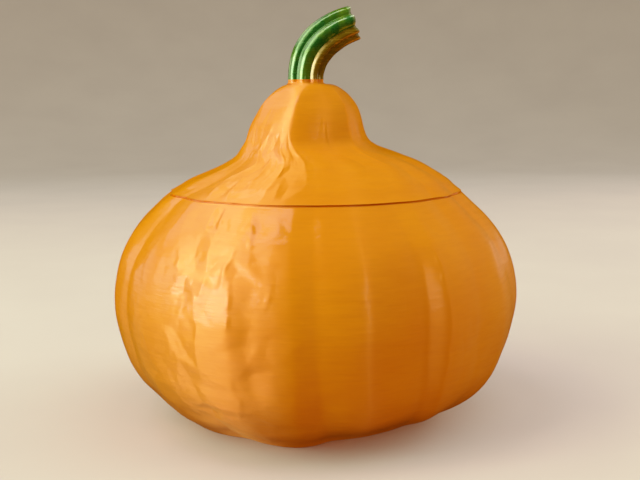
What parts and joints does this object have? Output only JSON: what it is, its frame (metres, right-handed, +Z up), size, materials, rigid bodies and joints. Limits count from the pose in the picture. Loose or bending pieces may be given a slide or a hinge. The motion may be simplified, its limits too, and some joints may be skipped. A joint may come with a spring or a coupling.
{
  "type": "lidded box",
  "caption": "Gourd-shaped box with a lobed hollow bowl, a bell-shaped lift-off lid with a knob, and a bent fluted stem.",
  "frame": {"origin": "centre of the round mouth's axis on the base plane, where the bowl rests", "axes": "+Z up along the mouth's axis, -Y towards the front as pictured, +X towards the side the stem bends to"},
  "size_m": [0.1201, 0.1199, 0.1191],
  "materials": {
    "orange_print": "silk-gloss orange printed plastic with fine level layer lines",
    "green_gold_print": "silk-gloss printed plastic, green on one side and gold on the other"
  },
  "bodies": {
    "bowl": {"bowl": "orange_print"},
    "lid": {"lid": "orange_print", "stem": "green_gold_print"}
  },
  "joints": [
    {"name": "lid_lift", "type": "slide", "parent": "bowl", "child": "lid", "axis": [0, 0, 1], "range_m": [0, 0.08]}
  ]
}
